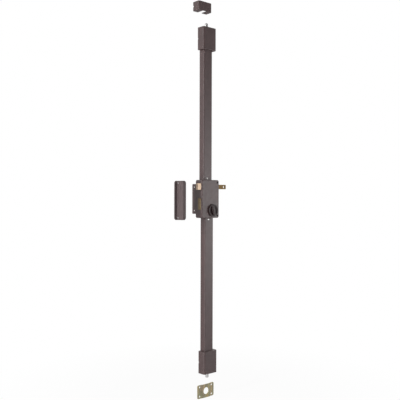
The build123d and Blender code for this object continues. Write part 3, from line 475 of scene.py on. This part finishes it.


# Finishes: one for each material slot, and those of pieces with a finish of their own

PAINTS = {
    "brown_paint": dict(dark=(0.053, 0.0285, 0.0285), light=(0.069, 0.037, 0.037), rough=0.46,
                        specular=0.8),
    # The side keeper's enamel: its lighter, greyer colour is painted light, a lit copy of the brown
    # paint; its high roughness is a matt finish.
    "matt_paint": dict(dark=(0.069, 0.046, 0.047), light=(0.086, 0.057, 0.058), rough=0.84,
                       specular=1.0),
}
UPRIGHT_BRUSHING = (9, 9, 0.6)
LEVEL_BRUSHING = (0.6, 9, 9)
POLISHED_RELIEF = 0.01 * MM
METALS = {
    "zinc_steel": dict(dark=(0.46, 0.47, 0.49), light=(0.64, 0.65, 0.67), rough=0.34, scale=420),
    "raw_steel": dict(dark=(0.34, 0.335, 0.33), light=(0.52, 0.515, 0.51), rough=0.38, scale=260,
                      grain=(1, 1, 7), stain=(0.27, 0.24, 0.21)),
    "rod_steel": dict(dark=(0.62, 0.61, 0.605), light=(0.82, 0.81, 0.80), rough=0.30, scale=180,
                      grain=(1, 1, 16)),
    "brass": dict(dark=(0.32, 0.235, 0.17), light=(0.385, 0.295, 0.222), rough=0.28, scale=420,
                  grain=UPRIGHT_BRUSHING, relief=POLISHED_RELIEF, stain=(0.29, 0.205, 0.145)),
    # The deadbolt's brass: its darker colour is painted shade, a shaded copy of the brass; its higher
    # roughness is a duller finish.
    "dull_brass": dict(dark=(0.165, 0.125, 0.077), light=(0.212, 0.16, 0.098), rough=0.42, scale=420,
                       grain=UPRIGHT_BRUSHING, relief=POLISHED_RELIEF, stain=(0.152, 0.113, 0.068)),
    "dark_brass": dict(dark=(0.115, 0.075, 0.032), light=(0.145, 0.096, 0.041), rough=0.46, scale=420,
                       grain=LEVEL_BRUSHING, relief=POLISHED_RELIEF, stain=(0.095, 0.062, 0.027)),
    "bronze": dict(dark=(0.45, 0.29, 0.14), light=(0.62, 0.42, 0.22), rough=0.48, scale=1500,
                   relief=0.06 * MM),
    "black_screw": dict(dark=(0.011, 0.010, 0.010), light=(0.022, 0.020, 0.019), rough=0.45, scale=900),
    "bright_screw": dict(dark=(0.78, 0.76, 0.75), light=(0.93, 0.91, 0.90), rough=0.26, scale=500),
}
PLASTICS = {
    "knob_plastic": dict(dark=(0.016, 0.0075, 0.0085), light=(0.024, 0.0115, 0.0125), rough=0.34,
                         relief=0.04 * MM, specular=0.4),
    "guide_block": dict(dark=(0.022, 0.020, 0.020), light=(0.036, 0.033, 0.033), rough=0.5,
                        relief=0.07 * MM),
}

LOOKS = {"yellow_zinc": yellow_zinc("yellow_zinc")}
for make_look, finishes in ((paint, PAINTS), (metal, METALS), (plastic, PLASTICS)):
    for finish, values in finishes.items():
        LOOKS[finish] = make_look(finish, **values)

# Pieces with a finish of their own: painted shade on the deadbolt, painted light on the side keeper,
# darker brass on the pull bar.
RETONED_PIECES = {"deadbolt": "dull_brass", "pull_bar": "dark_brass", "side_keeper": "matt_paint"}


def dress(piece, slot):
    piece.data.materials.clear()
    piece.data.materials.append(LOOKS[slot])


for entry in frame["record"]["subparts"]:
    dress(nodes[entry["node"]], RETONED_PIECES.get(entry["node"], entry["material_slot"]))

# Screws and spring, finer than in the CAD


def from_mesh(name, mesh_data, body, slot, *replaced):
    """A new piece that rides on a body, has a slot's finish and stands in for CAD nodes."""
    piece = bpy.data.objects.new(name, mesh_data)
    bpy.context.collection.objects.link(piece)
    dress(piece, slot)
    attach(piece, body)
    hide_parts(*replaced)
    return piece


def ring_faces(rings, sides):
    """Quads between rings with equally many points, each ring closed on itself."""
    faces = []
    for ring in range(rings - 1):
        start = ring * sides
        for side in range(sides):
            after = (side + 1) % sides
            faces.append((start + side, start + after,
                          start + sides + after, start + sides + side))
    return faces


def thread_rings(shank_radius, top, length):
    """Rings of (radius, z) from top to -length: a cut thread that fades out towards both ends."""
    rows = int((length + top) / THREAD_PITCH * THREAD_ROWS)
    rings = []
    for row in range(rows + 1):
        z = top - (length + top) * row / rows
        fade = min(1.0, row / THREAD_ROWS, (rows - row) / THREAD_ROWS)
        chamfer = END_CHAMFER if row == rows else 0
        ring = []
        for side in range(SCREW_SIDES):
            phase = (z / THREAD_PITCH + side / SCREW_SIDES) % 1.0
            ridge = 1.0 - abs(2.0 * phase - 1.0)
            cut = THREAD_DEPTH * (1.0 - min(1.0, ridge * THREAD_CREST_GAIN))
            ring.append((shank_radius - cut * fade - chamfer, z))
        rings.append(ring)
    return rings


def screw_blank(name, head, shank_radius, length):
    """A screw that points along -z, with its head's top at z = 0 and a chamfered end."""
    outline = [(max(radius * MM, POLE_RADIUS), z * MM) for radius, z in head]
    rings = [[point] * SCREW_SIDES for point in outline]
    rings += thread_rings(shank_radius, outline[-1][1], length)
    rings.append([(POLE_RADIUS, -length)] * SCREW_SIDES)
    points = []
    for ring in rings:
        for side, (radius, z) in enumerate(ring):
            angle = 2 * pi * side / SCREW_SIDES
            points.append((radius * cos(angle), radius * sin(angle), z))
    mesh_data = bpy.data.meshes.new(name)
    mesh_data.from_pydata(points, [], ring_faces(len(rings), SCREW_SIDES))
    work = bmesh.new()
    work.from_mesh(mesh_data)
    bmesh.ops.remove_doubles(work, verts=work.verts, dist=WELD_DISTANCE)
    bmesh.ops.recalc_face_normals(work, faces=work.faces)
    work.to_mesh(mesh_data)
    work.free()
    return mesh_data


def recess_cutter(reach, width, depth):
    """Two crossed, tapered blocks that stand a little out of the head's top at z = 0."""
    cutter = bmesh.new()
    for turn in (0, pi / 2):
        for vert in bmesh.ops.create_cube(cutter, size=1.0)["verts"]:
            at_floor = vert.co.z < 0
            half = reach * (RECESS_FLOOR_REACH if at_floor else 1.0)
            across = width * (RECESS_FLOOR_WIDTH if at_floor else 1.0)
            z = -depth if at_floor else RECESS_OVERRUN
            corner = Vector((vert.co.x * 2 * half, vert.co.y * across, z))
            vert.co = Matrix.Rotation(turn, 3, "Z") @ corner
    mesh_data = bpy.data.meshes.new("cutter")
    cutter.to_mesh(mesh_data)
    cutter.free()
    return mesh_data


def cross_recess(mesh_data, reach, width, depth):
    """A screw with a cross recess in its head, whose arms have the given reach and width."""
    blank = bpy.data.objects.new("screw_blank", mesh_data)
    cutter = bpy.data.objects.new("screw_cutter", recess_cutter(reach, width, depth))
    for thing in (blank, cutter):
        bpy.context.collection.objects.link(thing)
    cut = blank.modifiers.new("recess", "BOOLEAN")
    cut.operation = "DIFFERENCE"
    cut.solver = "EXACT"
    cut.use_self = True
    cut.object = cutter
    evaluated = blank.evaluated_get(bpy.context.evaluated_depsgraph_get())
    done = bpy.data.meshes.new_from_object(evaluated)
    for thing in (blank, cutter):
        bpy.data.objects.remove(thing)
    return done


def screw_pair(name, mesh_data, places, turns, replaced, slot):
    """Two screws of one kind as one piece, facing the viewer; turns are those of their recesses."""
    facing = Matrix.Rotation(radians(90), 4, "X")
    work = bmesh.new()
    for place, turn in zip(places, turns):
        copy = mesh_data.copy()
        copy.transform(Matrix.Translation(place) @ facing @ Matrix.Rotation(turn, 4, "Z"))
        work.from_mesh(copy)
        bpy.data.meshes.remove(copy)
    joined = bpy.data.meshes.new(name)
    work.to_mesh(joined)
    work.free()
    for face in joined.polygons:
        face.use_smooth = True
    joined.set_sharp_from_angle(angle=SHARP_ANGLE)
    from_mesh(name, joined, "lock_body", slot, replaced)


def make_cover_screws():
    """The countersunk screws of the case front, one above the other."""
    low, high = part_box("cover_screws")
    x = (low.x + high.x) / 2
    places = [(x, low.y, high.z - COVER_CAD_HEAD_RADIUS), (x, low.y, low.z + COVER_CAD_HEAD_RADIUS)]
    blank = screw_blank("cover_screw", COVER_HEAD, SHANK_RADIUS, high.y - low.y)
    screw = cross_recess(blank, **COVER_RECESS)
    screw_pair("cover_screw_pair", screw, places, COVER_TURNS, "cover_screws", "black_screw")


def make_profile_screws():
    """The domed screws of the two profiles, at opposite corners of their common box."""
    low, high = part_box("profile_screws")
    inset = PROFILE_CAD_HEAD_RADIUS
    places = [(low.x + inset, low.y, high.z - inset), (high.x - inset, low.y, low.z + inset)]
    blank = screw_blank("profile_screw", PROFILE_HEAD, SHANK_RADIUS, high.y - low.y)
    screw = cross_recess(blank, **PROFILE_RECESS)
    screw_pair("profile_screw_pair", screw, places, PROFILE_TURNS, "profile_screws", "bright_screw")


def spring_line(start, end, middle, radius):
    """The wire's middle line, from start to end in x, with slightly closer turns at both ends."""
    count = SPRING_TURNS * SPRING_STEPS
    line = []
    for step in range(count + 1):
        share = step / count
        turn = 2 * pi * SPRING_TURNS * share
        eased = share - SPRING_CLOSING * sin(2 * pi * share) / (2 * pi)
        x = start + (end - start) * eased
        line.append(Vector((x, middle.y + radius * cos(turn), middle.z + radius * sin(turn))))
    return line


def wire_mesh(name, line, middle, radius):
    """Round wire along a line that is coiled around middle in y and z, with flat ends."""
    last = len(line) - 1
    points = []
    for step, centre in enumerate(line):
        ahead = (line[min(step + 1, last)] - line[max(step - 1, 0)]).normalized()
        outward = Vector((0, centre.y - middle.y, centre.z - middle.z)).normalized()
        sideways = ahead.cross(outward).normalized()
        for side in range(SPRING_SIDES):
            angle = 2 * pi * side / SPRING_SIDES
            points.append(centre + (outward * cos(angle) + sideways * sin(angle)) * radius)
    faces = ring_faces(len(line), SPRING_SIDES)
    faces.append(tuple(reversed(range(SPRING_SIDES))))
    faces.append(tuple(range(last * SPRING_SIDES, len(line) * SPRING_SIDES)))
    mesh_data = bpy.data.meshes.new(name)
    mesh_data.from_pydata(points, [], faces)
    for face in mesh_data.polygons:
        face.use_smooth = len(face.vertices) == 4
    return mesh_data


def make_spring():
    """The latch spring as round wire, riding on the latch."""
    low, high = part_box("latch_spring")
    middle = (low + high) / 2
    coil_radius = (high.z - low.z) / 2 - SPRING_CAD_WIRE_RADIUS
    line = spring_line(low.x + SPRING_CAD_WIRE_RADIUS, high.x - SPRING_CAD_WIRE_RADIUS, middle,
                       coil_radius)
    wire = wire_mesh("latch_spring_wire", line, middle, SPRING_WIRE_RADIUS)
    spring = from_mesh("latch_spring_wire", wire, "latch", "raw_steel", "latch_spring")
    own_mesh(spring)


make_cover_screws()
make_profile_screws()
make_spring()

# Lights, background and floor


def make_light(name, offset, width, height, power):
    """A rectangular light that the camera doesn't see."""
    data = bpy.data.lights.new(name, "AREA")
    data.shape = "RECTANGLE"
    data.size = width
    data.size_y = height
    data.energy = power
    lamp = bpy.data.objects.new(name, data)
    bpy.context.collection.objects.link(lamp)
    lamp.location = LIT_PLACE + offset
    lamp.rotation_euler = (-offset).to_track_quat("-Z", "Y").to_euler()
    lamp.visible_camera = False


def seen_by_camera(tree):
    """1 for what the camera sees, also through something clear, and 0 for the rest."""
    rays = add_node(tree, "LightPath").outputs
    return add_node(tree, "Math", {
        0: rays["Is Camera Ray"],
        1: rays["Is Transmission Ray"],
    }, "MAXIMUM").outputs[0]


def make_world():
    """White behind the object for the camera and for mirrors, and a plain dimmer light elsewhere."""
    world = bpy.data.worlds.new("world")
    bpy.context.scene.world = world
    tree = empty_tree(world)
    direction = add_node(tree, "TexCoord").outputs["Generated"]
    behind = add_node(tree, "VectorMath", {0: direction, 1: BACKDROP_SIDE}, "DOT_PRODUCT")
    mirrored = add_range(tree, behind.outputs["Value"], -BACKDROP_BLEND, BACKDROP_BLEND, ROOM_LIGHT,
                         BACKDROP_LIGHT)
    lit = add_node(tree, "Mix", {
        "Factor": add_node(tree, "LightPath").outputs["Is Glossy Ray"],
        "A": WORLD_LIGHT,
        "B": mirrored,
    })
    strength = add_node(tree, "Math", {
        0: lit.outputs["Result"],
        1: seen_by_camera(tree),
    }, "MAXIMUM")
    background = add_node(tree, "Background", {"Color": WHITE, "Strength": strength.outputs[0]})
    add_node(tree, "OutputWorld", {"Surface": background.outputs[0]})


def floor_material():
    """Pale for light and mirrors; the camera sees mostly a white glow, and nothing else far out."""
    material = bpy.data.materials.new("floor")
    tree = empty_tree(material)
    place = add_node(tree, "TexCoord").outputs["Object"]
    flat = add_node(tree, "VectorMath", {0: place, 1: (1, 1, 0)}, "MULTIPLY")
    reach = add_node(tree, "VectorMath", {0: flat.outputs[0]}, "LENGTH")
    glow_share = add_range(tree, reach.outputs["Value"], FLOOR_NEAR, FLOOR_FAR, FLOOR_GLOW_NEAR,
                           FLOOR_GLOW_FAR)
    shown = add_node(tree, "Math", {0: glow_share, 1: seen_by_camera(tree)}, "MULTIPLY")
    pale = add_node(tree, "BsdfDiffuse", {"Color": FLOOR_COLOUR})
    glow = add_node(tree, "Emission", {"Color": WHITE})
    mix = add_node(tree, "MixShader", {
        "Fac": shown.outputs[0],
        1: pale.outputs[0],
        2: glow.outputs[0],
    })
    add_node(tree, "OutputMaterial", {"Surface": mix.outputs[0]})
    return material


def make_floor():
    """A plain pale floor that keeps the object's shadow and meets the background unseen."""
    z = cad_bounds[0].z - FLOOR_DROP
    half = FLOOR_SIZE / 2
    mesh_data = bpy.data.meshes.new("floor")
    corners = [(-half, -half, z), (half, -half, z), (half, half, z), (-half, half, z)]
    mesh_data.from_pydata(corners, [], [(0, 1, 2, 3)])
    mesh_data.materials.append(floor_material())
    floor = bpy.data.objects.new("floor", mesh_data)
    bpy.context.collection.objects.link(floor)


for light_name, light in SOFT_LIGHTS.items():
    make_light(light_name, **light)
make_world()
make_floor()
bpy.context.scene.view_settings.view_transform = "Standard"
